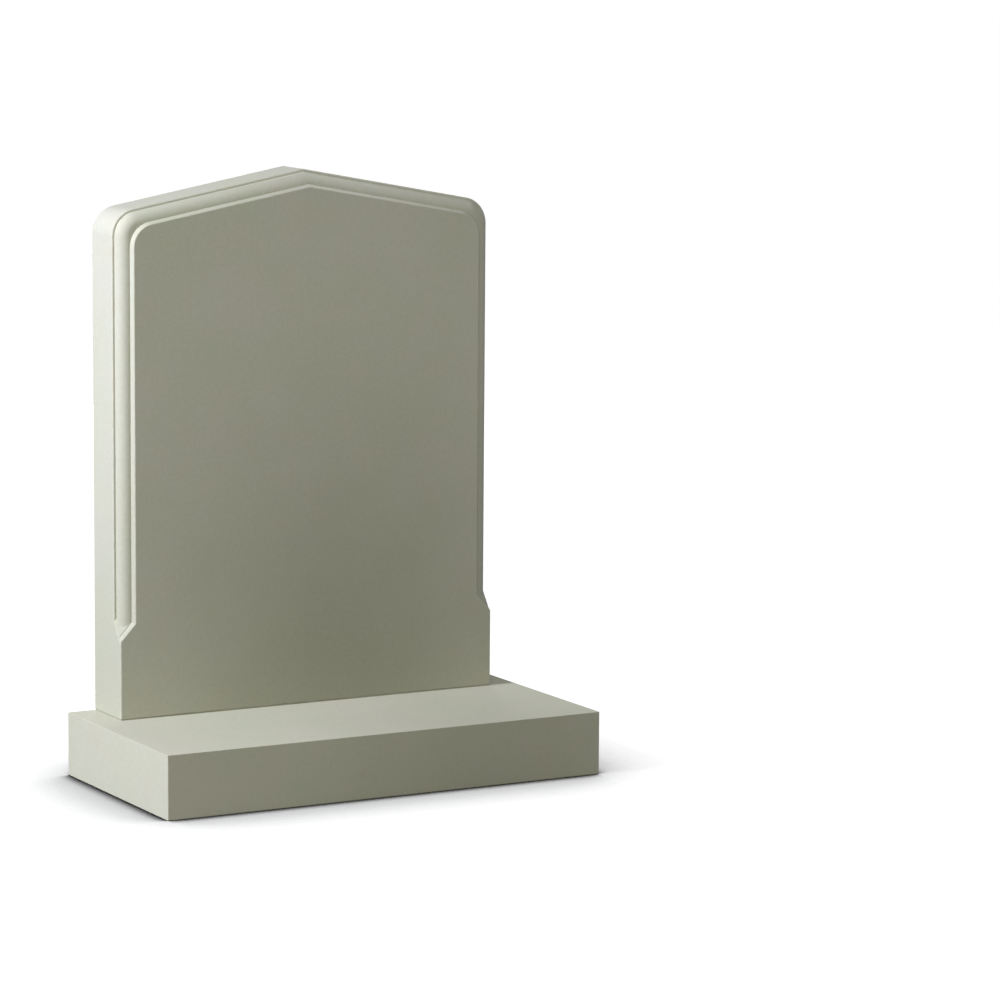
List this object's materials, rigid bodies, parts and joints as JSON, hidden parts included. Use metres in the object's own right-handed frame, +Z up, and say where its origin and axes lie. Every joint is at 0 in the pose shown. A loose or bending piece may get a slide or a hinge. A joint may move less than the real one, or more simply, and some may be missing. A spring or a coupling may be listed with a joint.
{
  "type": "memorial headstone",
  "caption": "Upright stone headstone with a shallow gabled head, rounded shoulders and a stopped edge moulding, on a rectangular stone base slab.",
  "frame": {"origin": "middle of the base slab's underside, on the ground it stands on", "axes": "+Z up, +X to the right of someone who faces the inscription side, +Y from the inscription side to the back"},
  "size_m": [0.762, 0.381, 0.965],
  "materials": {
    "rubbed_stone": "fine rubbed, matt, pale grey with a faint green cast",
    "bedding_mortar": "matt lime and sand mortar",
    "stainless_steel": "plain drawn bar"
  },
  "bodies": {
    "root": {"base_slab": "rubbed_stone", "headstone": "rubbed_stone", "mortar_bed": "bedding_mortar", "dowel_left": "stainless_steel", "dowel_right": "stainless_steel"}
  },
  "joints": []
}
